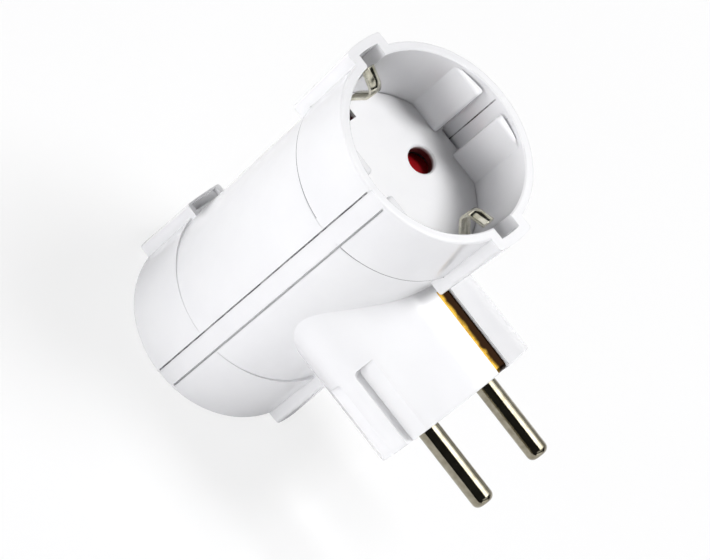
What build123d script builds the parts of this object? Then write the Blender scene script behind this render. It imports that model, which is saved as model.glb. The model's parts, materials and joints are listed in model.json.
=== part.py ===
from build123d import *

import os
from math import cos, pi, radians, sin

# A double plug adapter: an earthed two-pin plug stands out from the middle of a round
# housing that has a recessed earthed socket at each end. The housing is two half
# shells, split along the line of the sockets. Sizes are in millimetres.
# Working axes: Z is the line through the two sockets, +Y is the way the pins point,
# and the two pins stand side by side along X. place() moves the finished pieces so
# that the origin is the centre of the plug's pin face.

# Housing and sockets
adapter_length = 88.0
socket_radius = 19.5
socket_depth = 17.5
cup_wall = 2.0
rim_rounding = 0.5
rim_bevel = 0.3
upper_step_height = 26.5
lower_step_height = 24.3
waist_front_flattening = 0.65
waist_back_flattening = 0.55
step_groove_width = 0.25
step_groove_depth = 0.25
seam_width = 0.3
seam_depth = 0.9
mouth_seam_depth = 0.35
band_width = 4.2
band_depth = 0.35
band_groove = 0.45
band_groove_depth = 1.4
band_end_gap = 1.1

# Ears that house the earth clips' pockets
ear_height = 2.7
ear_width = 10.0
ear_length = 21.5
ear_rounding = 0.7
ear_side_height = 2.2
ear_rear_height = 1.9
ear_rear_crown = 0.1
ear_recess_width = 7.8
ear_recess_height = 1.6
ear_recess_depth = 1.2
ear_recess_wall = 0.4
pocket_width = 5.6
pocket_wall = 2.0

# Guide keys on the socket walls
key_face_gap = 33.4
key_slot_width = 5.5
key_drop = 1.2
key_rounding = 0.7
key_groove_width = 1.0
key_groove_depth = 1.6
key_groove_arc = 34.0
key_groove_end = 9.0

# Plug
plug_radius = 18.5
plug_reach = 42.6
plug_wall = 2.2
plug_rounding = 0.4
chamber_wall = 2.2
slot_wall = 1.6
guide_flat_gap = 33.2
guide_length = 17.5
guide_rib_width = 5.4
guide_rounding = 1.2
earth_slot_width = 3.6
earth_strip_inset = 0.7
foot_length = 3.4

# Pins
pin_radius = 2.4
pin_root_radius = 2.2
pin_length = 19.0
pin_spacing = 19.0
pin_tip_rounding = 1.4
pin_collar_radius = 3.4
pin_collar_height = 1.5
pin_inner_length = 12.6
pin_tail_radius = 1.5
pin_head_radius = 2.2
pin_head_height = 0.8

# Socket floor, shutter and contact carrier
floor_thickness = 2.5
floor_ledge_width = 1.7
floor_ledge_height = 1.7
pin_hole_radius = 3.0
pin_hole_bevel = 0.35
clip_slot_width = 5.5
clip_slot_inset = 5.2
floor_notch_width = 4.8
floor_notch_depth = 0.8
carrier_flange_height = 2.45
carrier_retainer_width = 1.2
carrier_retainer_height = 1.25
carrier_well_depth = 1.45
carrier_well_radius = 16.8
middle_gap = 11.1
carrier_block_width = 30.4
carrier_block_depth = 12.8
contact_pocket_width = 7.8
contact_pocket_roof = 0.8
shutter_thickness = 2.7
shutter_hub_radius = 4.6
shutter_pad_radius = 3.9
shutter_arm_width = 5.0
shutter_ramp_drop = 2.0
shutter_open_angle = 42.0
post_radius = 2.0
spring_radius = 3.0
spring_wire_radius = 0.175
spring_pitch = 0.78
spring_turns = 1.6
spring_pocket_radius = 3.7
spring_leg_length = 0.8

# Current and earth metal
contact_thickness = 0.6
contact_width = 7.0
contact_wall_gap = 6.4
contact_grip_gap = 4.4
contact_mouth_gap = 7.2
busbar_width = 6.0
strip_thickness = 0.8
busbar_end = 0.6
link_side_reach = 3.9
earth_width = 3.2
bracket_thickness = 0.6
clip_tip_inset = 0.7
clip_knee_inset = 5.95
clip_leg_inset = 2.1
clip_lean = 0.7
clip_tip_height = 14.2
clip_knee_height = 11.9
clip_leg_height = 6.2
clip_knee_bend = 2.2
clip_foot_bend = 1.2
earth_strap_drop = 2.9
earth_ring_width = 1.15
rivet_radius = 1.0
rivet_head_radius = 1.7
rivet_head_height = 0.5

# Assembly screw
screw_radius = 1.65
screw_head_radius = 3.2
screw_head_height = 1.7
screw_length = 54.0
screw_recess_depth = 1.9
boss_radius = 4.0
spigot_radius = 2.9
spigot_length = 2.0
lip_thickness = 0.8
lip_height = 1.2

# Clearances
slip = 0.15
running = 0.1
hair = 0.05

# Levels and radii worked out from the sizes above
cup_radius = socket_radius + cup_wall
rim_z = adapter_length / 2
floor_z = rim_z - socket_depth
seat_z = floor_z - floor_thickness
ledge_z = seat_z - floor_ledge_height
flange_z = ledge_z - carrier_flange_height
retainer_z = flange_z - carrier_retainer_height
chamber_radius = socket_radius - running
retainer_radius = chamber_radius - carrier_retainer_width
ledge_radius = socket_radius - floor_ledge_width
ear_radius = cup_radius + ear_height
ear_rear_z = rim_z - ear_length
pocket_radius = ear_radius - pocket_wall
pin_x = pin_spacing / 2
face_y = plug_reach
inner_face_y = face_y - plug_wall
guide_y = face_y - guide_length
strip_outer_z = plug_radius - earth_strip_inset
strip_centre_z = strip_outer_z - strip_thickness / 2
slot_floor_z = strip_outer_z - strip_thickness - running
plug_chamber_x = guide_flat_gap / 2 - chamber_wall
plug_chamber_z = slot_floor_z - slot_wall
well_z = ledge_z - hair - carrier_well_depth
block_low_z = middle_gap / 2
contact_top_z = well_z - contact_pocket_roof - 1.1
contact_low_z = block_low_z + 0.8
contact_wall_y = contact_wall_gap / 2 + contact_thickness / 2
busbar_y = contact_wall_gap / 2 + contact_thickness
link_y = busbar_y + strip_thickness
pin_inner_y = face_y - pin_inner_length
contact_rivet_z = contact_low_z + contact_thickness + rivet_head_radius + slip
clip_tip_y = socket_radius - clip_tip_inset
clip_knee_y = socket_radius - clip_knee_inset
clip_leg_y = socket_radius - clip_leg_inset
clip_slot_y = socket_radius - clip_slot_inset
bracket_outer_y = clip_leg_y + bracket_thickness / 2
earth_rivet_z = strip_centre_z - strip_thickness - rivet_head_radius
earth_strap_z = earth_rivet_z - earth_strap_drop


def place(shape):
    return Pos(0, -plug_reach, 0) * shape


def turned_over(shape):
    # The lower socket's pieces are the upper ones turned over about the plug's axis
    return Rot(0, 180, 0) * shape


def both_ends(shape):
    return shape + turned_over(shape)


def both_sides(shape):
    return shape + mirror(shape, Plane.YZ)


def block(x, y, z):
    corner = (Align.MIN, Align.MIN, Align.MIN)
    return Pos(x[0], y[0], z[0]) * Box(x[1] - x[0], y[1] - y[0], z[1] - z[0], align=corner)


def z_cylinder(radius, low, high, x=0, y=0):
    base = (Align.CENTER, Align.CENTER, Align.MIN)
    return Pos(x, y, low) * Cylinder(radius, high - low, align=base)


def y_cylinder(radius, low, high, x=0, z=0):
    base = (Align.CENTER, Align.CENTER, Align.MIN)
    return Pos(x, low, z) * Rot(-90, 0, 0) * Cylinder(radius, high - low, align=base)


def bent_strip(plane, points, bend, thickness, width):
    # A strip of sheet metal: a path with rounded bends, given thickness and width
    path = FilletPolyline(*points, radius=bend)
    profile = trace(path, line_width=thickness)
    return extrude(plane * profile, amount=width / 2, both=True)


# The housing, as one body before it is split


def waist(inset):
    # Flattened towards the plug and towards the back, and nearly flush with the cups at its sides
    reach = adapter_length
    side_radius = cup_radius - hair - inset / 6
    front = Ellipse(side_radius, cup_radius - waist_front_flattening - inset)
    back = Ellipse(side_radius, cup_radius - waist_back_flattening - inset)
    whole = (-reach, reach)
    front_half = extrude(front, amount=rim_z, both=True) & block(whole, (0, reach), whole)
    back_half = extrude(back, amount=rim_z, both=True) & block(whole, (-reach, 0), whole)
    return front_half + back_half


def cups_and_waist():
    body = z_cylinder(cup_radius, -rim_z, rim_z)
    rims = body.edges().filter_by(GeomType.CIRCLE)
    body = fillet(rims, rim_rounding)
    around = z_cylinder(cup_radius + 1, -lower_step_height, upper_step_height)
    groove = z_cylinder(cup_radius + 1, upper_step_height - step_groove_width, upper_step_height)
    return body - (around - waist(0)) - (groove - waist(step_groove_depth))


def ear_section(z, side_y, crown_y):
    half, foot_y = ear_width / 2, socket_radius - 1
    crown = ThreePointArc((half, side_y), (0, crown_y), (-half, side_y))
    sides = Polyline((-half, side_y), (-half, foot_y), (half, foot_y), (half, side_y))
    return Pos(0, 0, z) * make_face(crown + sides)


def ear():
    # Crowned at the rim and flatter towards its rear end, where it has a shallow recess
    rear_y = cup_radius + ear_rear_height
    rim = ear_section(rim_z, cup_radius + ear_side_height, ear_radius)
    rear = ear_section(ear_rear_z, rear_y, rear_y + ear_rear_crown)
    body = loft([rear, rim])
    long_edges = body.edges().filter_by(lambda edge: edge.length > ear_length * 0.9)
    body = fillet(long_edges.sort_by(Axis.Y)[-2:], ear_rounding)
    half = ear_recess_width / 2
    recess_y = (rear_y - ear_recess_wall - ear_recess_height, rear_y - ear_recess_wall)
    return body - block((-half, half), recess_y, (ear_rear_z - 1, ear_rear_z + ear_recess_depth))


def ears():
    upper = ear() + Rot(0, 0, 180) * ear()
    return both_ends(upper)


def plug_body():
    body = y_cylinder(plug_radius, 0, face_y)
    face_edge = body.faces().sort_by(Axis.Y)[-1].edges()
    return fillet(face_edge, plug_rounding)


def guide_recess():
    # One of the four flats that guide the plug into a recessed socket
    flat = guide_flat_gap / 2
    low = guide_rib_width / 2
    side = (flat, plug_radius + 1)
    body = block(side, (guide_y, face_y + 1), (low, plug_radius))
    inner = body.edges().filter_by(Axis.X).sort_by(Axis.Y)[:2].sort_by(Axis.Z)[0]
    return fillet(inner, guide_rounding)


def guide_recesses():
    upper = both_sides(guide_recess())
    return upper + mirror(upper, Plane.XY)


def earth_slot():
    # The strip lies in a slot down the plug's side and turns in across its face
    half = earth_slot_width / 2
    start_y, end_y = cup_radius + 0.9, face_y + 1
    foot_y = face_y - strip_thickness - 2 * hair
    foot_z = strip_outer_z - foot_length
    bend = strip_thickness / 2 + running
    outside = plug_radius + 1
    profile = Polyline(
        (start_y, slot_floor_z),
        (foot_y - bend, slot_floor_z),
        (foot_y, slot_floor_z - bend),
        (foot_y, foot_z),
        (end_y, foot_z),
        (end_y, outside),
        (start_y, outside),
        close=True,
    )
    slot = extrude(Plane.YZ * make_face(profile), amount=half, both=True)
    way_z = (slot_floor_z, strip_outer_z + running)
    return slot + block((-half, half), (ledge_radius - hair, cup_radius + 1), way_z)


def socket_cavity():
    half = pocket_width / 2
    recess = z_cylinder(socket_radius, seat_z, rim_z + 1)
    mouth = Pos(0, 0, rim_z - rim_bevel / 2) * Cone(socket_radius, socket_radius + rim_bevel, rim_bevel)
    well = z_cylinder(ledge_radius, ledge_z - 1, seat_z + 1)
    groove = z_cylinder(chamber_radius, flange_z - hair, ledge_z)
    retainer = z_cylinder(retainer_radius, retainer_z - 1, flange_z)
    middle = block((-half, half), (-ear_radius, ear_radius), (retainer_z - 1, rim_z + 1))
    pockets = z_cylinder(pocket_radius, floor_z, rim_z + 1)
    notches = z_cylinder(chamber_radius, retainer_z - 1, seat_z + 1)
    return recess + mouth + well + groove + retainer + (pockets & middle) + (notches & middle)


def plug_cavity():
    body = y_cylinder(plug_radius - plug_wall, 0, inner_face_y)
    x, z = plug_chamber_x, plug_chamber_z
    return body & block((-x, x), (0, inner_face_y), (-z, z))


def guide_key():
    # One of the flat-faced blocks that the plug's flats slide along
    face_x = key_face_gap / 2
    low_y = key_slot_width / 2
    top_z = rim_z - key_drop
    body = block((face_x, cup_radius), (low_y, socket_radius), (floor_z + hair, top_z))
    upright = body.edges().filter_by(Axis.Z).sort_by(Axis.X)[:2].sort_by(Axis.Y)[0]
    body = fillet(upright, key_rounding)
    crown = body.faces().sort_by(Axis.Z)[-1].edges().sort_by(Axis.X)[0]
    body = fillet(crown, key_rounding)
    # A groove behind the crown, which narrows to nothing where the key meets the wall
    groove_low = top_z - key_groove_depth
    arc_x = socket_radius - key_groove_width - key_groove_arc
    groove = z_cylinder(socket_radius, groove_low, top_z + 1)
    groove &= block((0, cup_radius), (low_y - 1, key_groove_end), (groove_low, top_z + 1))
    groove -= z_cylinder(key_groove_arc, groove_low, top_z + 1, x=arc_x)
    return (body & z_cylinder(socket_radius + cup_wall / 2, floor_z, rim_z)) - groove


def guide_keys():
    one_side = guide_key() + mirror(guide_key(), Plane.XZ)
    return both_ends(both_sides(one_side))


def bosses():
    return y_cylinder(boss_radius, 1 - cup_radius, inner_face_y + 1)


def spigot(radius, length):
    # The front boss ends in a spigot that enters the back boss
    return y_cylinder(radius, -length, 0)


def lips(thickness, height):
    # A lip inside the seam on each side keeps the two walls in line
    half_z = retainer_z - 1.5
    edge = cup_radius - cup_wall - running
    one = block((edge, edge + thickness), (-height, 0), (-half_z, half_z))
    return both_sides(one)


def screw_holes():
    seat_y = face_y - screw_recess_depth
    recess = y_cylinder(screw_head_radius + slip, seat_y, face_y + 1)
    hole = y_cylinder(screw_radius + slip, 0, face_y)
    pilot = y_cylinder(screw_radius + hair, seat_y - screw_length - 1, 0)
    return recess + hole + pilot


def side_bands():
    # The flat strip beside each seam, and the groove along its other edge
    flat_x = cup_radius - band_depth
    outside = cup_radius + 1
    long = (-rim_z - 1, rim_z + 1)
    short = (band_end_gap - rim_z, rim_z - band_end_gap)
    groove_y = (band_width - band_groove / 2, band_width + band_groove / 2)
    flat = block((flat_x, outside), (0, band_width), long)
    groove = block((cup_radius - band_groove_depth, outside), groove_y, short)
    seam = block((cup_radius - seam_depth, outside), (-seam_width, 0), short)
    return both_sides(flat + groove + seam) - y_cylinder(plug_radius, 0, face_y)


def mouth_seams():
    # The same seam as it shows between the guide keys inside each mouth
    seam_x = (socket_radius - 1, socket_radius + mouth_seam_depth)
    seam = block(seam_x, (-seam_width, 0), (floor_z, rim_z - band_end_gap))
    return both_ends(both_sides(seam))


def housing():
    outside = cups_and_waist() + ears() + plug_body()
    chamber = z_cylinder(chamber_radius, -retainer_z, retainer_z)
    shell = outside - both_ends(socket_cavity()) - chamber - plug_cavity()
    shell -= guide_recesses() + both_ends(earth_slot()) + side_bands() + mouth_seams()
    shell += guide_keys() + bosses()
    shell -= screw_holes()
    pin_holes = both_sides(y_cylinder(pin_radius + hair, inner_face_y - 1, face_y + 1, x=pin_x))
    return shell - pin_holes


def half_shells():
    whole = housing()
    reach = adapter_length + plug_reach
    front = whole & block((-reach, reach), (0, reach), (-reach, reach))
    back = whole & block((-reach, reach), (-reach, 0), (-reach, reach))
    front += lips(lip_thickness, lip_height)
    front += spigot(spigot_radius, spigot_length) - spigot(screw_radius + slip, spigot_length + 1)
    back -= lips(lip_thickness + hair, lip_height + running)
    back -= spigot(spigot_radius + hair, spigot_length + running)
    return front, back


# Pieces of the upper socket, used again at the lower one


def socket_floor():
    body = z_cylinder(socket_radius - slip, seat_z, floor_z)
    holes = z_cylinder(pin_hole_radius, seat_z - 1, floor_z + 1, x=pin_x)
    bevel = Cone(pin_hole_radius, pin_hole_radius + pin_hole_bevel, pin_hole_bevel)
    bevel = Pos(pin_x, 0, floor_z - pin_hole_bevel / 2) * bevel
    half = clip_slot_width / 2
    slot = block((-half, half), (clip_slot_y, socket_radius), (seat_z - 1, floor_z + 1))
    body -= slot + Rot(0, 0, 180) * slot
    # A shallow notch in the edge stands between the two guide keys of each side
    notch_x = (socket_radius - floor_notch_depth, socket_radius)
    notch_y = (-floor_notch_width / 2, floor_notch_width / 2)
    notch = block(notch_x, notch_y, (seat_z - 1, floor_z + 1))
    return body - both_sides(holes + bevel + notch)


def contact_carrier():
    flange_top = ledge_z - hair
    flange = z_cylinder(chamber_radius - slip, flange_z, flange_top)
    half_x, half_y = carrier_block_width / 2, carrier_block_depth / 2
    tower = block((-half_x, half_x), (-half_y, half_y), (block_low_z, flange_z + 1))
    tower = fillet(tower.edges().filter_by(Axis.Z), 1.0)
    body = flange + tower
    body -= z_cylinder(carrier_well_radius, well_z, flange_top + 1)
    body += z_cylinder(post_radius, well_z - 1, seat_z - running)
    # Each contact has a pocket, open below, with a hole above it for the pin
    pocket_x = (pin_x - contact_pocket_width / 2, pin_x + contact_pocket_width / 2)
    pocket_y = (-contact_mouth_gap / 2 - 0.9, link_y + rivet_head_height + slip)
    pocket = block(pocket_x, pocket_y, (block_low_z - 1, well_z - contact_pocket_roof))
    entry = z_cylinder(pin_hole_radius + 0.4, flange_z - 1, well_z + 1, x=pin_x)
    body -= both_sides(pocket + entry)
    # The earth strap crosses below, between the two contacts, and its arms pass outside
    strap_x = (-earth_width / 2 - 0.4, earth_width / 2 + 0.4)
    strap_top = earth_strap_z + strip_thickness / 2 + slip
    body -= block(strap_x, (-half_y - 1, half_y + 1), (block_low_z - 1, strap_top))
    arm_y = (clip_leg_y - 1.2, chamber_radius + 1)
    notch = block((strap_x[0] - 0.4, strap_x[1] + 0.4), arm_y, (flange_z - 1, flange_top + 1))
    body -= notch + Rot(0, 0, 180) * notch
    leg_low = well_z - spring_leg_length - hair
    return body - z_cylinder(spring_wire_radius + hair, leg_low, well_z + 1, x=spring_radius)


def shutter():
    low, high = well_z + slip, well_z + slip + shutter_thickness
    pad = z_cylinder(shutter_pad_radius, low, high, x=pin_x)
    arm = block((0, pin_x), (-shutter_arm_width / 2, shutter_arm_width / 2), (low, high))
    # A pin slides down the ramp on its pad and so turns both pads out of the way
    edge = shutter_pad_radius
    ramp_side = Polyline((-edge, high), (edge, high), (edge, high - shutter_ramp_drop), close=True)
    ramp = extrude(Plane.YZ * make_face(ramp_side), amount=shutter_pad_radius * 2)
    blade = pad + arm - Pos(pin_x - shutter_pad_radius, 0, 0) * ramp
    body = blade + Rot(0, 0, 180) * blade + z_cylinder(shutter_hub_radius, low, high)
    spring_room = z_cylinder(spring_pocket_radius, low - 1, spring_top() + slip)
    return body - spring_room - spring_end_hole() - z_cylinder(post_radius + hair, low - 1, high + 1)


def spring_top():
    height = spring_pitch * spring_turns
    return well_z + slip + 2 * spring_wire_radius + height + slip


def spring_end():
    turn = 360 * spring_turns
    return spring_radius * cos(radians(turn)), spring_radius * sin(radians(turn))


def spring_end_hole():
    x, y = spring_end()
    top = spring_top() + spring_leg_length
    return z_cylinder(spring_wire_radius + hair, well_z, top, x=x, y=y)


def shutter_spring():
    # A torsion spring round the post, with one leg in the carrier and one in the shutter
    low = well_z + slip + spring_wire_radius
    height = spring_pitch * spring_turns
    coil = Pos(0, 0, low) * Helix(spring_pitch, height, spring_radius)
    wire = Plane(origin=coil @ 0, z_dir=coil % 0) * Circle(spring_wire_radius)
    body = sweep(wire, path=coil)
    x, y = spring_end()
    body += z_cylinder(spring_wire_radius, well_z - spring_leg_length, low, x=spring_radius)
    leg_top = spring_top() + spring_leg_length - running
    body += z_cylinder(spring_wire_radius, low + height, leg_top, x=x, y=y)
    ends = Pos(spring_radius, 0, low) * Sphere(spring_wire_radius)
    ends += Pos(x, y, low + height) * Sphere(spring_wire_radius)
    return body + ends


def contact():
    # A spring clip of two leaves that grips one pin of the plug put into the socket
    grip = contact_grip_gap / 2 + contact_thickness / 2
    mouth = contact_mouth_gap / 2 + contact_thickness / 2
    wall_top = contact_rivet_z + rivet_head_radius + slip
    grip_z = contact_top_z - 2.3
    right = [
        (contact_wall_y, contact_low_z),
        (contact_wall_y, wall_top),
        (grip, grip_z),
        (mouth, contact_top_z),
    ]
    left = [(-y, z) for y, z in reversed(right)]
    body = bent_strip(Plane.YZ, left + right, contact_thickness, contact_thickness, contact_width)
    hole = y_cylinder(rivet_radius + hair / 2, 0, link_y, z=contact_rivet_z)
    return Pos(pin_x, 0, 0) * (body - hole)


def earth_bracket():
    # One strap with a spring clip at each end, which grips the plug's earth strips. Both
    # clips lean a little towards the housing's back.
    knee_z, tip_z = floor_z + clip_knee_height, floor_z + clip_tip_height
    legs = [(-clip_leg_y, floor_z + clip_leg_height), (-clip_leg_y, earth_strap_z)]
    legs += [(-y, z) for y, z in reversed(legs)]
    back = [(-clip_tip_y - clip_lean, tip_z), (-clip_knee_y - clip_lean, knee_z)]
    front = [(clip_knee_y - clip_lean, knee_z), (clip_tip_y - clip_lean, tip_z)]
    bends = [clip_knee_bend] + [clip_foot_bend] * 4 + [clip_knee_bend]
    body = bent_strip(Plane.YZ, back + legs + front, bends, bracket_thickness, earth_width)
    hole = y_cylinder(rivet_radius + hair / 2, -cup_radius, cup_radius, z=earth_rivet_z)
    return body - hole


# Metal in the middle of the adapter


def busbar():
    # Joins the upper and lower contacts of one pole
    half_z = contact_rivet_z + rivet_head_radius + busbar_end
    half_x = busbar_width / 2
    body = block((pin_x - half_x, pin_x + half_x), (busbar_y, link_y), (-half_z, half_z))
    body = fillet(body.edges().filter_by(Axis.Y), 1.0)
    for z in (-contact_rivet_z, 0, contact_rivet_z):
        body -= y_cylinder(rivet_radius + hair / 2, busbar_y - 1, link_y + 1, x=pin_x, z=z)
    return body


def link():
    # Carries the current from a pin's tail to the busbar
    tab_x = pin_x - busbar_width / 2
    side_x = pin_x + link_side_reach
    near_y = link_y + strip_thickness / 2
    far_y = pin_inner_y - strip_thickness / 2
    points = [(tab_x, far_y), (side_x, far_y), (side_x, near_y), (tab_x, near_y)]
    body = bent_strip(Plane.XY, points, strip_thickness, strip_thickness, busbar_width)
    body -= y_cylinder(rivet_radius + hair / 2, 0, near_y + 1, x=pin_x)
    return body - y_cylinder(pin_tail_radius + hair / 2, far_y - 1, far_y + 1, x=pin_x)


def pin():
    body = y_cylinder(pin_radius, face_y, face_y + pin_length)
    tip = body.faces().sort_by(Axis.Y)[-1].edges()
    body = fillet(tip, pin_tip_rounding) + y_cylinder(pin_root_radius, pin_inner_y, face_y)
    collar_y = inner_face_y - hair - pin_collar_height
    body += y_cylinder(pin_collar_radius, collar_y, collar_y + pin_collar_height)
    tail_y = pin_inner_y - strip_thickness
    body += y_cylinder(pin_tail_radius, tail_y - hair, pin_inner_y)
    body += y_cylinder(pin_head_radius, tail_y - pin_head_height, tail_y)
    return Pos(pin_x, 0, 0) * body


def pin_carrier():
    # Holds both pins square behind their collars
    top = inner_face_y - hair - pin_collar_height - hair
    x = plug_chamber_x - slip
    body = y_cylinder(plug_radius - plug_wall - slip, pin_inner_y + 1.2, top)
    body &= block((-x, x), (0, top), (-x * 0.6, x * 0.6))
    body -= both_sides(y_cylinder(pin_root_radius + hair, 0, top + 1, x=pin_x))
    return body - y_cylinder(boss_radius + slip, 0, top + 1)


def earth_strip():
    # Lies in the plug's slot and is riveted to the socket's bracket inside
    tab_y = bracket_outer_y + strip_thickness / 2
    foot_y = face_y - strip_thickness / 2 - hair
    points = [
        (foot_y, strip_outer_z - foot_length + running),
        (foot_y, strip_centre_z),
        (tab_y, strip_centre_z),
        (tab_y, earth_rivet_z - rivet_head_radius),
    ]
    body = bent_strip(Plane.YZ, points, strip_thickness, strip_thickness, earth_width)
    return body - y_cylinder(rivet_radius + hair / 2, tab_y - 1, tab_y + 1, z=earth_rivet_z)


def earth_link():
    # Joins the two brackets at the back, passing round the screw boss
    near, far = -bracket_outer_y, -bracket_outer_y - strip_thickness
    half_z = earth_rivet_z + rivet_head_radius
    body = block((-earth_width / 2, earth_width / 2), (far, near), (-half_z, half_z))
    body += y_cylinder(boss_radius + slip + earth_ring_width, far, near)
    body -= y_cylinder(boss_radius + slip, far - 1, near + 1)
    for z in (-earth_rivet_z, earth_rivet_z):
        body -= y_cylinder(rivet_radius + hair / 2, far - 1, near + 1, z=z)
    return body


def rivet(low, high, x=0, z=0):
    body = y_cylinder(rivet_radius, low, high, x, z)
    body += y_cylinder(rivet_head_radius, low - rivet_head_height, low, x, z)
    return body + y_cylinder(rivet_head_radius, high, high + rivet_head_height, x, z)


def contact_rivets():
    inner = contact_wall_gap / 2
    places = [(x, z) for x in (-pin_x, pin_x) for z in (-contact_rivet_z, contact_rivet_z)]
    return Compound([rivet(inner, link_y, x, z) for x, z in places])


def link_rivets():
    return Compound([rivet(busbar_y, link_y + strip_thickness, x) for x in (-pin_x, pin_x)])


def earth_rivets():
    inner = clip_leg_y - bracket_thickness / 2
    outer = bracket_outer_y + strip_thickness
    ends = (-earth_rivet_z, earth_rivet_z)
    front = [rivet(inner, outer, z=z) for z in ends]
    back = [rivet(-outer, -inner, z=z) for z in ends]
    return Compound(front + back)


def assembly_screw():
    seat_y = face_y - screw_recess_depth
    head = y_cylinder(screw_head_radius, seat_y, seat_y + screw_head_height)
    head = fillet(head.faces().sort_by(Axis.Y)[-1].edges(), 0.6)
    slot = block((-screw_head_radius, screw_head_radius), (seat_y + 0.8, face_y), (-0.4, 0.4))
    cross = slot + Rot(0, 90, 0) * slot
    shank = y_cylinder(screw_radius, seat_y - screw_length, seat_y)
    shank = chamfer(shank.faces().sort_by(Axis.Y)[0].edges(), 1.0)
    return (head - (cross & y_cylinder(2.2, 0, face_y))) + shank


def all_pieces():
    front, back = half_shells()
    pieces = {"plug_half_shell": front, "back_half_shell": back}
    per_socket = {
        "socket_floor": socket_floor(),
        "contact_carrier": contact_carrier(),
        "shutter": shutter(),
        "shutter_spring": shutter_spring(),
        "earth_bracket": earth_bracket(),
        "earth_strip": earth_strip(),
        "line_contact": contact(),
        "neutral_contact": mirror(contact(), Plane.YZ),
    }
    for name, shape in per_socket.items():
        pieces["upper_" + name] = shape
        pieces["lower_" + name] = turned_over(shape)
    # Turning a contact over takes it to the other pole, so the lower two change names
    swapped = pieces["lower_line_contact"]
    pieces["lower_line_contact"] = pieces["lower_neutral_contact"]
    pieces["lower_neutral_contact"] = swapped
    for name, shape in {"busbar": busbar(), "link": link(), "pin": pin()}.items():
        pieces["line_" + name] = shape
        pieces["neutral_" + name] = mirror(shape, Plane.YZ)
    pieces["pin_carrier"] = pin_carrier()
    pieces["earth_link"] = earth_link()
    pieces["contact_rivets"] = contact_rivets()
    pieces["link_rivets"] = link_rivets()
    pieces["earth_rivets"] = earth_rivets()
    pieces["assembly_screw"] = assembly_screw()
    return pieces


os.makedirs("parts", exist_ok=True)
for piece_name, piece_shape in all_pieces().items():
    export_step(place(piece_shape), f"parts/{piece_name}.step")
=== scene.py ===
import json

import bpy
from mathutils import Matrix, Vector


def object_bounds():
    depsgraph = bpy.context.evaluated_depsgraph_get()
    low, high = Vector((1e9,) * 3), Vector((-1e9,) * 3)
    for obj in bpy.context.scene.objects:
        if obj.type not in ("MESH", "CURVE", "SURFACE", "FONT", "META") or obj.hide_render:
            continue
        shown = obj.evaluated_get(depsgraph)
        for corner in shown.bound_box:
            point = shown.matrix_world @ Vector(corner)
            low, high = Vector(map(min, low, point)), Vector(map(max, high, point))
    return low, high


# A double plug adapter: glossy white shells, nickelled pins and earth metal, red shutters.
# Everything is in metres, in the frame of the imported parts: +Y is the way the pins point,
# +Z runs from the lower socket to the upper one.

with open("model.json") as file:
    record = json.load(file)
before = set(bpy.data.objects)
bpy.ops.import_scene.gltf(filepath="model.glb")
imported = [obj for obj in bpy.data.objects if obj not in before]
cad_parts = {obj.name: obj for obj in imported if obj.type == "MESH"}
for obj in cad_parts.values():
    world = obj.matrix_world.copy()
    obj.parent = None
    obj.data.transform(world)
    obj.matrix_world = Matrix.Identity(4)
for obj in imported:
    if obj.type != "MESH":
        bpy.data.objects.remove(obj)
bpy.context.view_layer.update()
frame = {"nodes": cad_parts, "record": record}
print("frame loaded, nodes:", len(frame["nodes"]))


# Small helpers for building node trees


def newGroup(name, inputs, outputs):
    group = bpy.data.node_groups.new(name, "ShaderNodeTree")
    for label, kind, value in inputs:
        socket = group.interface.new_socket(name=label, in_out="INPUT", socket_type=kind)
        socket.default_value = value
    for label, kind in outputs:
        group.interface.new_socket(name=label, in_out="OUTPUT", socket_type=kind)
    start = group.nodes.new("NodeGroupInput")
    start.location = (-900, 0)
    end = group.nodes.new("NodeGroupOutput")
    end.location = (700, 0)
    return group, start.outputs, end


def addNode(tree, kind, place, **settings):
    node = tree.nodes.new(kind)
    node.location = place
    for name, value in settings.items():
        setattr(node, name, value)
    return node


def wire(tree, node, values):
    # Each input takes a link from a socket, or a plain value
    for name, value in values.items():
        if isinstance(value, bpy.types.NodeSocket):
            tree.links.new(value, node.inputs[name])
        else:
            node.inputs[name].default_value = value
    return node


def calc(tree, operation, place, *values):
    node = addNode(tree, "ShaderNodeMath", place, operation=operation)
    return wire(tree, node, dict(enumerate(values))).outputs[0]


def objectPlace(tree, place):
    return addNode(tree, "ShaderNodeTexCoord", place).outputs["Object"]


def splitAxes(tree, place, vector):
    node = addNode(tree, "ShaderNodeSeparateXYZ", place)
    return wire(tree, node, {"Vector": vector}).outputs


def noise(tree, place, vector, scale, grain):
    node = addNode(tree, "ShaderNodeTexNoise", place)
    return wire(tree, node, {"Vector": vector, "Scale": scale, **grain}).outputs["Fac"]


def easedEdges(tree, place, radius):
    node = addNode(tree, "ShaderNodeBevel", place, samples=4)
    return wire(tree, node, {"Radius": radius}).outputs["Normal"]


def bumped(tree, place, height, normal, strength, distance, **settings):
    node = addNode(tree, "ShaderNodeBump", place, **settings)
    values = {"Height": height, "Normal": normal, "Strength": strength, "Distance": distance}
    return wire(tree, node, values).outputs["Normal"]


def spread(tree, place, value, limits, results=(0.0, 1.0)):
    node = addNode(tree, "ShaderNodeMapRange", place)
    values = {"Value": value, "From Min": limits[0], "From Max": limits[1]}
    return wire(tree, node, {**values, "To Min": results[0], "To Max": results[1]}).outputs["Result"]


# The skin of a moulded piece: eased edges, a fine ripple in the gloss and faint clouding

mouldedGrain = {
    "ripple": {"Detail": 2.0, "Roughness": 0.45},
    "rippleHeight": 0.0002,
    "cloud": {"Detail": 3.0, "Roughness": 0.55},
}


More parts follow.
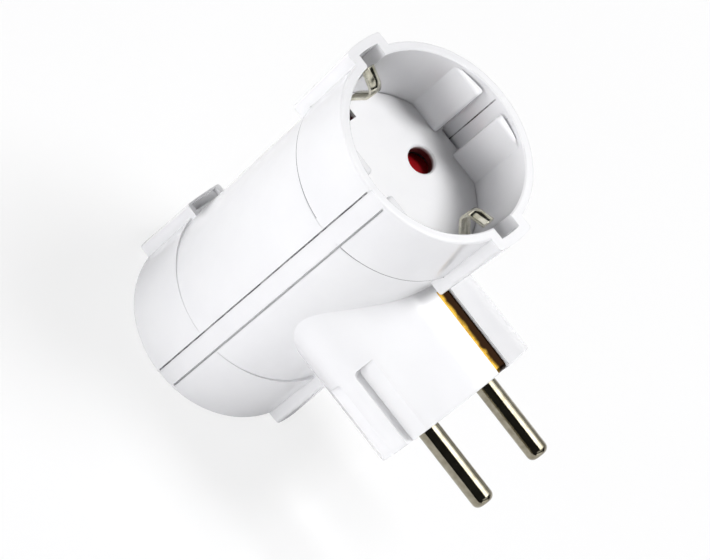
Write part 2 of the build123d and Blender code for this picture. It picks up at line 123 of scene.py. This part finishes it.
def buildMouldedSkin():
    group, given, end = newGroup(
        "mouldedSkin",
        [
            ("Edge Radius", "NodeSocketFloat", 0.0002),
            ("Ripple Size", "NodeSocketFloat", 300.0),
            ("Ripple Depth", "NodeSocketFloat", 0.1),
            ("Cloud Size", "NodeSocketFloat", 60.0),
        ],
        [("Normal", "NodeSocketVector"), ("Cloud", "NodeSocketFloat")],
    )
    grain = mouldedGrain
    place = objectPlace(group, (-900, -250))
    eased = easedEdges(group, (-600, 150), given["Edge Radius"])
    ripple = noise(group, (-600, -50), place, given["Ripple Size"], grain["ripple"])
    skin = bumped(group, (-300, 50), ripple, eased, given["Ripple Depth"], grain["rippleHeight"])
    cloud = noise(group, (-600, -300), place, given["Cloud Size"], grain["cloud"])
    wire(group, end, {"Normal": skin, "Cloud": cloud})
    return group


# The skin of plated or rolled metal: eased edges, a slow wave, a crown across x, which is the
# width of every strip, fine lines along one axis, and smudges

metalGrain = {
    "wave": {"Detail": 0.0, "Roughness": 0.3},
    "waveHeight": 0.0005,
    "mmPerMetre": 1000.0,  # the crown is in mm of fall per square mm across
    "crownHeight": 0.001,
    "lines": {"Detail": 2.0, "Roughness": 0.6},
    "lineHeight": 0.00003,
    "smudge": {"Detail": 4.0, "Roughness": 0.6},
}


def buildWorkedMetal():
    group, given, end = newGroup(
        "workedMetal",
        [
            ("Edge Radius", "NodeSocketFloat", 0.0001),
            ("Line Stretch", "NodeSocketVector", (1.0, 1.0, 1.0)),
            ("Line Size", "NodeSocketFloat", 1500.0),
            ("Line Depth", "NodeSocketFloat", 0.1),
            ("Wave Size", "NodeSocketFloat", 300.0),
            ("Wave Depth", "NodeSocketFloat", 0.0),
            ("Crown", "NodeSocketFloat", 0.0),
            ("Crown Centre", "NodeSocketFloat", 0.0),
            ("Smudge Size", "NodeSocketFloat", 150.0),
        ],
        [("Normal", "NodeSocketVector"), ("Smudge", "NodeSocketFloat")],
    )
    grain = metalGrain
    place = objectPlace(group, (-900, -250))
    eased = easedEdges(group, (-600, 150), given["Edge Radius"])
    wave = noise(group, (-600, -600), place, given["Wave Size"], grain["wave"])
    waved = bumped(group, (-450, 300), wave, eased, given["Wave Depth"], grain["waveHeight"])
    parts = splitAxes(group, (-1600, 500), place)
    aside = calc(group, "SUBTRACT", (-1400, 500), parts["X"], given["Crown Centre"])
    across = calc(group, "MULTIPLY", (-1250, 500), aside, grain["mmPerMetre"])
    square = calc(group, "MULTIPLY", (-1100, 500), across, across)
    fall = calc(group, "MULTIPLY", (-900, 500), square, given["Crown"])
    crowned = bumped(group, (-450, 500), fall, waved, 1.0, grain["crownHeight"], invert=True)
    stretch = addNode(group, "ShaderNodeVectorMath", (-750, -100), operation="MULTIPLY")
    wire(group, stretch, {0: place, 1: given["Line Stretch"]})
    lines = noise(group, (-550, -100), stretch.outputs["Vector"], given["Line Size"], grain["lines"])
    skin = bumped(group, (-300, 50), lines, crowned, given["Line Depth"], grain["lineHeight"])
    smudge = noise(group, (-600, -350), place, given["Smudge Size"], grain["smudge"])
    wire(group, end, {"Normal": skin, "Smudge": smudge})
    return group


# How far a point lies below the face of a socket floor, from 0 at the face to 1 in the bore: the mask
# for the painted shade in the bores


def buildBoreDepth():
    group, given, end = newGroup(
        "boreDepth",
        [
            ("Face", "NodeSocketFloat", 0.0265),
            ("Start", "NodeSocketFloat", 0.0002),
            ("End", "NodeSocketFloat", 0.001),
        ],
        [("Mask", "NodeSocketFloat")],
    )
    parts = splitAxes(group, (-700, -250), objectPlace(group, (-900, -250)))
    height = calc(group, "ABSOLUTE", (-500, -250), parts["Z"])
    depth = calc(group, "SUBTRACT", (-300, -50), given["Face"], height)
    wire(group, end, {"Mask": spread(group, (0, 0), depth, (given["Start"], given["End"]))})
    return group


# A mask for a line of painted shade along z at one place in y, beyond Inside from the middle in x
# and within Reach of it in z, broken by slow noise

lineGrain = {
    "breaks": {"Scale": 160.0, "Detail": 3.0, "Roughness": 0.6},
    "breakLimits": (0.42, 0.62),
}


def buildGrooveShadeLine():
    group, given, end = newGroup(
        "grooveShadeLine",
        [
            ("Place", "NodeSocketFloat", 0.0),
            ("Half Width", "NodeSocketFloat", 0.0001),
            ("Soft", "NodeSocketFloat", 0.00005),
            ("Inside", "NodeSocketFloat", 0.018),
            ("Reach", "NodeSocketFloat", 0.04),
            ("Breaks", "NodeSocketFloat", 0.5),
        ],
        [("Mask", "NodeSocketFloat")],
    )
    parts = splitAxes(group, (-1300, -250), objectPlace(group, (-1500, -250)))
    aside = calc(group, "SUBTRACT", (-700, 0), parts["Y"], given["Place"])
    distance = calc(group, "ABSOLUTE", (-550, 0), aside)
    edge = calc(group, "ADD", (-550, 200), given["Half Width"], given["Soft"])
    line = spread(group, (-350, 100), distance, (given["Half Width"], edge), (1.0, 0.0))
    side = calc(group, "ABSOLUTE", (-700, -200), parts["X"])
    outside = calc(group, "GREATER_THAN", (-350, -200), side, given["Inside"])
    along = calc(group, "ABSOLUTE", (-700, -350), parts["Z"])
    within = calc(group, "LESS_THAN", (-350, -330), along, given["Reach"])
    breaks = addNode(group, "ShaderNodeTexNoise", (-700, -450), noise_dimensions="1D")
    wire(group, breaks, {"W": parts["Z"], **lineGrain["breaks"]})
    weak = spread(group, (-500, -450), breaks.outputs["Fac"], lineGrain["breakLimits"])
    loss = calc(group, "MULTIPLY", (-300, -450), weak, given["Breaks"])
    kept = calc(group, "SUBTRACT", (-150, -450), 1.0, loss)
    placed = calc(group, "MULTIPLY", (0, 0), line, outside)
    ended = calc(group, "MULTIPLY", (100, -150), placed, within)
    wire(group, end, {"Mask": calc(group, "MULTIPLY", (300, 0), ended, kept)})
    return group


# A mask for a ring of painted shade round the sockets' axis: a band of height between two radii,
# with a gap at each side


def buildRingShadeLine():
    group, given, end = newGroup(
        "ringShadeLine",
        [
            ("Axis Place", "NodeSocketFloat", 0.0),
            ("Low", "NodeSocketFloat", 0.0),
            ("High", "NodeSocketFloat", 0.001),
            ("Inner", "NodeSocketFloat", 0.02),
            ("Outer", "NodeSocketFloat", 0.021),
            ("Gap Place", "NodeSocketFloat", 0.0),
            ("Gap Half", "NodeSocketFloat", 0.001),
        ],
        [("Mask", "NodeSocketFloat")],
    )
    parts = splitAxes(group, (-1300, -250), objectPlace(group, (-1500, -250)))
    aside = calc(group, "SUBTRACT", (-1100, -100), parts["Y"], given["Axis Place"])
    flat = addNode(group, "ShaderNodeCombineXYZ", (-900, -100))
    wire(group, flat, {"X": parts["X"], "Y": aside})
    length = addNode(group, "ShaderNodeVectorMath", (-700, -100), operation="LENGTH")
    radius = wire(group, length, {0: flat.outputs["Vector"]}).outputs["Value"]
    beside = calc(group, "SUBTRACT", (-1100, -400), parts["Y"], given["Gap Place"])
    clear = calc(group, "ABSOLUTE", (-900, -400), beside)
    mask = calc(group, "GREATER_THAN", (-450, 200), parts["Z"], given["Low"])
    limits = [
        ("LESS_THAN", parts["Z"], "High"),
        ("GREATER_THAN", radius, "Inner"),
        ("LESS_THAN", radius, "Outer"),
        ("GREATER_THAN", clear, "Gap Half"),
    ]
    for step, (operation, value, label) in enumerate(limits):
        test = calc(group, operation, (-450, 20 - 180 * step), value, given[label])
        mask = calc(group, "MULTIPLY", (-250 + 180 * step, 0), mask, test)
    wire(group, end, {"Mask": mask})
    return group


mouldedSkin = buildMouldedSkin()
workedMetal = buildWorkedMetal()
boreDepth = buildBoreDepth()
grooveShadeLine = buildGrooveShadeLine()
ringShadeLine = buildRingShadeLine()
print("node groups made")


# A finish is the skin of its group, with a colour from shade to colour and a roughness from
# sharp to dull that follow the group's pattern

patternLimits = {"colour": (0.35, 0.65), "roughness": (0.3, 0.7)}


def newMaterial(name):
    material = bpy.data.materials.new(name)
    material.use_nodes = True
    tree = material.node_tree
    tree.nodes.clear()
    shader = addNode(tree, "ShaderNodeBsdfPrincipled", (200, 0))
    output = addNode(tree, "ShaderNodeOutputMaterial", (500, 0))
    wire(tree, output, {"Surface": shader.outputs["BSDF"]})
    return material, tree, shader


def placeGroup(tree, group, values, place=(-900, 0)):
    return wire(tree, addNode(tree, "ShaderNodeGroup", place, node_tree=group), values).outputs


def colourBetween(tree, place, pattern, limits, low, high):
    node = addNode(tree, "ShaderNodeValToRGB", place)
    for point, position, colour in zip(node.color_ramp.elements, limits, (low, high)):
        point.position = position
        point.color = (*colour, 1.0)
    return wire(tree, node, {"Fac": pattern}).outputs["Color"]


def maskedColour(tree, place, mask, below, above):
    node = addNode(tree, "ShaderNodeMix", place, data_type="RGBA")
    return wire(tree, node, {"Factor": mask, "A": below, "B": (*above, 1.0)}).outputs["Result"]


def skinned(tree, shader, group, patternName, look):
    # Gives the colour back unlinked, because some finishes lay masks over it
    skin = placeGroup(tree, group, look["skin"])
    pattern = skin[patternName]
    roughness = (look["sharp"], look["dull"])
    rough = spread(tree, (-350, -100), pattern, patternLimits["roughness"], roughness)
    wire(tree, shader, {"Roughness": rough, "Normal": skin["Normal"], **look["shader"]})
    limits = patternLimits["colour"]
    return colourBetween(tree, (-600, 300), pattern, limits, look["shade"], look["colour"])


def mouldedPlastic(name, look):
    material, tree, shader = newMaterial(name)
    colour = skinned(tree, shader, mouldedSkin, "Cloud", look)
    wire(tree, shader, {"Base Color": colour})
    return material


def platedMetal(name, look):
    material, tree, shader = newMaterial(name)
    colour = skinned(tree, shader, workedMetal, "Smudge", look)
    wire(tree, shader, {"Base Color": colour})
    return material


# White shells, with fine dark lines of painted shade in the parting seam, in the groove beside
# each side band and along the lower edge of the upper cup

shellLook = {
    "colour": (0.83, 0.83, 0.845),
    "shade": (0.8, 0.8, 0.82),
    "sharp": 0.14,
    "dull": 0.24,
    "skin": {"Edge Radius": 0.00012, "Ripple Size": 240.0, "Ripple Depth": 0.06, "Cloud Size": 45.0},
    "shader": {"IOR": 1.5, "Coat Weight": 0.35, "Coat Roughness": 0.06},
    "lines": [
        {
            # painted shade: a near-black line inside the parting seam groove
            "group": grooveShadeLine,  # the parting seam
            "colour": (0.012, 0.012, 0.014),
            "values": {
                "Place": -0.04275,
                "Half Width": 0.00008,
                "Soft": 0.00004,
                "Inside": 0.0185,
                "Reach": 0.0429,
                "Breaks": 0.6,
            },
        },
        {
            # painted shade: a grey line along the groove beside each side band
            "group": grooveShadeLine,  # the groove beside each side band
            "colour": (0.5, 0.5, 0.51),
            "values": {
                "Place": -0.0384,
                "Half Width": 0.00007,
                "Soft": 0.00008,
                "Inside": 0.0185,
                "Reach": 0.0429,
                "Breaks": 0.4,
            },
        },
        {
            # painted shade: a dark band on the cup just above its lower edge, standing for the shade
            # under that edge
            "group": ringShadeLine,  # the lower edge of the upper cup
            "colour": (0.22, 0.22, 0.23),
            "values": {
                "Axis Place": -0.0426,
                "Low": 0.0264,
                "High": 0.0267,
                "Inner": 0.0212,
                "Outer": 0.0216,
                "Gap Place": -0.0418,
                "Gap Half": 0.0035,
            },
        },
    ],
}


def partedShell(name, look):
    material, tree, shader = newMaterial(name)
    colour = skinned(tree, shader, mouldedSkin, "Cloud", look)
    # each line lays its painted shade over the colour
    for step, line in enumerate(look["lines"]):
        mask = placeGroup(tree, line["group"], line["values"], (-900, -300 - 300 * step))["Mask"]
        colour = maskedColour(tree, (-350 + 180 * step, 300), mask, colour, line["colour"])
    wire(tree, shader, {"Base Color": colour})
    return material


# White socket floors, moulded apart from the shells: their bores get painted shade below the face, a
# dark maroon that also stands for the red light the shutters throw into them

floorLook = {
    "colour": (0.87, 0.87, 0.875),
    "shade": (0.84, 0.84, 0.855),
    "sharp": 0.42,
    "dull": 0.55,
    "skin": {"Edge Radius": 0.0002, "Ripple Size": 260.0, "Ripple Depth": 0.05, "Cloud Size": 70.0},
    "shader": {"IOR": 1.5},
    # painted shade in the bores, tinted for the shutters' red bounce light
    "bore": (0.09, 0.02, 0.02),
    "boreDepth": {"Face": 0.0265, "Start": 0.0004, "End": 0.0012},
}


def boredFloor(name, look):
    material, tree, shader = newMaterial(name)
    colour = skinned(tree, shader, mouldedSkin, "Cloud", look)
    # painted shade: the bores darken below the face
    mask = placeGroup(tree, boreDepth, look["boreDepth"], (-900, -400))["Mask"]
    colour = maskedColour(tree, (-150, 300), mask, colour, look["bore"])
    wire(tree, shader, {"Base Color": colour})
    return material


# Red shutters

shutterLook = {
    "colour": (0.5, 0.012, 0.018),
    "shade": (0.4, 0.008, 0.012),
    "sharp": 0.18,
    "dull": 0.3,
    "skin": {"Edge Radius": 0.00015, "Ripple Size": 400.0, "Ripple Depth": 0.05, "Cloud Size": 200.0},
    "shader": {"IOR": 1.5, "Coat Weight": 0.3, "Coat Roughness": 0.1},
}

# Light grey carriers of the contacts and the pins

carrierLook = {
    "colour": (0.62, 0.62, 0.6),
    "shade": (0.55, 0.55, 0.53),
    "sharp": 0.42,
    "dull": 0.55,
    "skin": {"Edge Radius": 0.00015, "Ripple Size": 900.0, "Ripple Depth": 0.2, "Cloud Size": 90.0},
    "shader": {"IOR": 1.5},
}

# Turned pins, nickelled over brass: the lines run round the pin

pinLook = {
    "colour": (0.37, 0.345, 0.27),
    "shade": (0.25, 0.225, 0.165),
    "sharp": 0.05,
    "dull": 0.1,
    "skin": {
        "Edge Radius": 0.0002,
        "Line Stretch": (0.05, 1.0, 0.05),
        "Line Size": 2600.0,
        "Line Depth": 0.16,
        "Smudge Size": 500.0,
    },
    "shader": {"Metallic": 1.0},
}

# Rolled earth brackets with their clips, nickelled over brass: the lines run along the strip

earthLook = {
    "colour": (0.78, 0.76, 0.66),
    "shade": (0.46, 0.44, 0.33),
    "sharp": 0.07,
    "dull": 0.15,
    "skin": {
        "Edge Radius": 0.0003,
        "Line Stretch": (1.0, 0.08, 0.08),
        "Line Size": 1800.0,
        "Line Depth": 0.35,
        "Wave Size": 420.0,
        "Wave Depth": 0.35,
        "Crown": 0.2,
        "Crown Centre": -0.0007,
        "Smudge Size": 420.0,
    },
    "shader": {"Metallic": 1.0},
}

# Bare brass contacts, busbars and links, and their rivets

brassLook = {
    "colour": (0.78, 0.56, 0.22),
    "shade": (0.6, 0.4, 0.14),
    "sharp": 0.2,
    "dull": 0.36,
    "skin": {
        "Edge Radius": 0.0001,
        "Line Stretch": (1.0, 0.1, 0.1),
        "Line Size": 1800.0,
        "Line Depth": 0.25,
        "Smudge Size": 200.0,
    },
    "shader": {"Metallic": 1.0},
}

rivetLook = {**brassLook, "colour": (0.72, 0.54, 0.26), "shade": (0.58, 0.41, 0.17)}

# Drawn spring wire

springLook = {
    "colour": (0.5, 0.5, 0.51),
    "shade": (0.38, 0.38, 0.39),
    "sharp": 0.22,
    "dull": 0.34,
    "skin": {
        "Edge Radius": 0.00004,
        "Line Stretch": (1.0, 1.0, 0.2),
        "Line Size": 3000.0,
        "Line Depth": 0.15,
        "Smudge Size": 400.0,
    },
    "shader": {"Metallic": 1.0},
}

# The zinc-plated screw

screwLook = {
    "colour": (0.66, 0.67, 0.68),
    "shade": (0.5, 0.5, 0.5),
    "sharp": 0.18,
    "dull": 0.32,
    "skin": {
        "Edge Radius": 0.00015,
        "Line Stretch": (1.0, 0.2, 1.0),
        "Line Size": 1600.0,
        "Line Depth": 0.2,
        "Smudge Size": 260.0,
    },
    "shader": {"Metallic": 1.0},
}

# Earth strips in the plug's sides: brass, bright along one edge, with a painted dark reflection in
# near-black brown beside it

stripLook = {
    "bright": {"colour": (0.72, 0.43, 0.06), "roughness": 0.3, "from": 0.0012},
    # painted reflection: near-black brown for the dark surroundings the strip mirrors
    "darkReflection": {"colour": (0.024, 0.011, 0.005), "roughness": 0.2, "upTo": 0.0002},
    "waver": 0.0024,  # how far the edge between the two wanders across the strip
    "skin": {
        "Edge Radius": 0.00012,
        "Line Stretch": (1.0, 0.3, 0.3),
        "Line Size": 1800.0,
        "Line Depth": 0.6,
        "Smudge Size": 330.0,
    },
    "shader": {"Metallic": 1.0},
}


def darkReflectionStrip(name, look):
    material, tree, shader = newMaterial(name)
    bright, darkReflection, waver = look["bright"], look["darkReflection"], look["waver"]
    skin = placeGroup(tree, workedMetal, look["skin"])
    across = splitAxes(tree, (-900, -300), objectPlace(tree, (-1100, -300)))["X"]
    edge = calc(tree, "MULTIPLY_ADD", (-500, -350), skin["Smudge"], waver, across)
    limits = (darkReflection["upTo"] + waver / 2, bright["from"] + waver / 2)
    # mask from the painted dark reflection to the bright brass edge
    brassMask = spread(tree, (-300, -350), edge, limits)
    whole = (0.0, 1.0)
    colour = colourBetween(tree, (-100, 200), brassMask, whole, darkReflection["colour"], bright["colour"])
    roughness = (darkReflection["roughness"], bright["roughness"])
    rough = spread(tree, (-100, -100), brassMask, whole, roughness)
    wire(tree, shader, {"Base Color": colour, "Roughness": rough, "Normal": skin["Normal"]})
    wire(tree, shader, look["shader"])
    return material


finishes = {
    "shell_white": partedShell("shellWhite", shellLook),
    "floor_white": boredFloor("floorWhite", floorLook),
    "shutter_red": mouldedPlastic("shutterRed", shutterLook),
    "carrier_grey": mouldedPlastic("carrierGrey", carrierLook),
    "pin_nickel": platedMetal("pinNickel", pinLook),
    "earth_nickel": platedMetal("earthNickel", earthLook),
    "earth_strip": darkReflectionStrip("earthStripBrass", stripLook),
    "contact_brass": platedMetal("contactBrass", brassLook),
    "rivet_metal": platedMetal("rivetMetal", rivetLook),
    "spring_wire": platedMetal("springWire", springLook),
    "screw_steel": platedMetal("screwSteel", screwLook),
}
print("finishes made:", len(finishes))


# Every node of the frame takes the finish of its slot, or one of its own

ownFinish = {"upper_earth_strip": "earth_strip", "lower_earth_strip": "earth_strip"}


def dressNode(node, material):
    mesh = node.data
    mesh.materials.clear()
    mesh.materials.append(material)
    for face in mesh.polygons:
        face.material_index = 0


for part in frame["record"]["subparts"]:
    finish = ownFinish.get(part["node"], part["material_slot"])
    dressNode(frame["nodes"][part["node"]], finishes[finish])


# Studio: a pale table under the lower socket's rim and a lamp high over the far side of the
# mouth, which lights the socket floor and leaves its near wall in shade. Low cards light the
# sides. The room is dark to mirrored rays, so the metal has black bands between the boxes it
# mirrors; a lamp that only lights and a box that is only mirrored never lie in one plane.

studio = {
    "floorWidth": 6.0,
    "floorColour": (0.86, 0.86, 0.87),
    "floorGlow": 0.75,
    "floorGap": 0.00002,  # between the lower rim and the table
    "white": (1.0, 1.0, 1.0, 1.0),
    "roomLight": 0.08,
    "roomMirrored": 0.03,
    "roomSeen": 1.0,
    "lamps": [
        {"name": "topLamp", "place": (-0.28, 0.22, 0.95), "aim": (-0.28, 0.22, 0.0),
         "size": (0.28, 0.4), "watts": 9.35, "lights": True, "mirrored": False},
        {"name": "topBox", "place": (-0.28, 0.18, 0.98), "aim": (-0.28, 0.18, 0.0),
         "size": (0.68, 0.6), "watts": 5.5, "lights": False, "mirrored": True},
        {"name": "clipBoxFront", "place": (0.3, 0.9, 0.98), "aim": (0.3, 0.9, 0.0),
         "size": (1.5, 0.6), "watts": 2.3, "lights": False, "mirrored": True},
        {"name": "clipBoxBack", "place": (0.3, -0.95, 0.98), "aim": (0.3, -0.95, 0.0),
         "size": (1.5, 0.6), "watts": 2.3, "lights": False, "mirrored": True},
        {"name": "farBox", "place": (-0.92, 0.18, 0.98), "aim": (-0.92, 0.18, 0.0),
         "size": (0.6, 0.6), "watts": 1.9, "lights": False, "mirrored": True},
        {"name": "lineSideCard", "place": (0.8, -0.05, 0.19), "aim": (0.0, -0.03, 0.02),
         "size": (0.9, 0.24), "watts": 3.82, "lights": True, "mirrored": False},
        {"name": "cornerCard", "place": (0.58, -0.62, 0.3), "aim": (0.0, -0.03, 0.04),
         "size": (0.6, 0.2), "watts": 1.75, "lights": True, "mirrored": False},
        {"name": "backSideCard", "place": (0.1, -0.85, 0.16), "aim": (0.0, -0.04, 0.0),
         "size": (0.9, 0.3), "watts": 1.3, "lights": True, "mirrored": True},
        {"name": "pinSideCard", "place": (0.1, 0.85, 0.16), "aim": (0.0, -0.04, 0.0),
         "size": (0.9, 0.3), "watts": 1.2, "lights": True, "mirrored": True},
        {"name": "farSideCard", "place": (-0.9, 0.0, 0.25), "aim": (0.0, 0.0, 0.25),
         "size": (2.2, 0.6), "watts": 2.3, "lights": True, "mirrored": True},
    ],
}


def mixedShader(tree, place, share, first, second):
    node = addNode(tree, "ShaderNodeMixShader", place)
    return wire(tree, node, {"Fac": share, 1: first, 2: second}).outputs["Shader"]


def buildFloor():
    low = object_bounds()[0]
    height = low.z - studio["floorGap"]
    bpy.ops.mesh.primitive_plane_add(size=studio["floorWidth"], location=(0.0, 0.0, height))
    floor = bpy.context.object
    floor.name = "studioFloor"
    material = bpy.data.materials.new("studioFloor")
    material.use_nodes = True
    tree = material.node_tree
    tree.nodes.clear()
    matt = addNode(tree, "ShaderNodeBsdfDiffuse", (-300, 100))
    wire(tree, matt, {"Color": (*studio["floorColour"], 1.0)})
    glow = addNode(tree, "ShaderNodeEmission", (-300, -100))
    wire(tree, glow, {"Color": studio["white"], "Strength": 1.0})
    rays = addNode(tree, "ShaderNodeLightPath", (-700, 300))
    share = calc(tree, "MULTIPLY", (-300, 300), rays.outputs["Is Camera Ray"], studio["floorGlow"])
    surface = mixedShader(tree, (0, 0), share, matt.outputs["BSDF"], glow.outputs["Emission"])
    output = addNode(tree, "ShaderNodeOutputMaterial", (250, 0))
    wire(tree, output, {"Surface": surface})
    floor.data.materials.append(material)


def roomBackground(tree, place, strength):
    node = addNode(tree, "ShaderNodeBackground", place)
    return wire(tree, node, {"Color": studio["white"], "Strength": strength}).outputs["Background"]


def buildRoom():
    world = bpy.data.worlds.new("studioRoom")
    bpy.context.scene.world = world
    world.use_nodes = True
    tree = world.node_tree
    tree.nodes.clear()
    rays = addNode(tree, "ShaderNodeLightPath", (-600, 200)).outputs
    light = roomBackground(tree, (-300, 0), studio["roomLight"])
    mirrored = roomBackground(tree, (-300, -200), studio["roomMirrored"])
    seen = roomBackground(tree, (-300, -400), studio["roomSeen"])
    unseen = mixedShader(tree, (0, 0), rays["Is Glossy Ray"], light, mirrored)
    whole = mixedShader(tree, (200, 0), rays["Is Camera Ray"], unseen, seen)
    output = addNode(tree, "ShaderNodeOutputWorld", (400, 0))
    wire(tree, output, {"Surface": whole})


def buildLamps():
    for look in studio["lamps"]:
        data = bpy.data.lights.new(look["name"], "AREA")
        data.shape = "RECTANGLE"
        data.size, data.size_y = look["size"]
        data.energy = look["watts"]
        lamp = bpy.data.objects.new(look["name"], data)
        lamp.location = look["place"]
        away = Vector(look["aim"]) - Vector(look["place"])
        lamp.rotation_euler = away.to_track_quat("-Z", "Y").to_euler()
        lamp.visible_diffuse = look["lights"]
        lamp.visible_glossy = look["mirrored"]
        bpy.context.scene.collection.objects.link(lamp)


buildFloor()
buildRoom()
buildLamps()
print("studio built, lamps:", len(studio["lamps"]))


# Camera, at the photograph's viewing angle

cameraLook = {
    "place": (0.38101, -0.02076, 0.45156),
    "aim": (0.00043, -0.03221, -0.00038),
    "up": (-0.45963, -0.78934, 0.40704),
    "lens": 148.77,
    "sensor": 36.0,
    "nearest": 0.01,
    "farthest": 50.0,
}


def buildCamera():
    data = bpy.data.cameras.new("camera")
    data.lens = cameraLook["lens"]
    data.sensor_width = cameraLook["sensor"]
    data.sensor_fit = "HORIZONTAL"
    data.clip_start = cameraLook["nearest"]
    data.clip_end = cameraLook["farthest"]
    camera = bpy.data.objects.new("camera", data)
    place = Vector(cameraLook["place"])
    back = (place - Vector(cameraLook["aim"])).normalized()
    right = Vector(cameraLook["up"]).cross(back).normalized()
    up = back.cross(right)
    turn = Matrix((right, up, back)).transposed()
    camera.matrix_world = Matrix.Translation(place) @ turn.to_4x4()
    bpy.context.scene.collection.objects.link(camera)
    bpy.context.scene.camera = camera


buildCamera()
bpy.context.scene.view_settings.view_transform = "Standard"
print("camera placed")
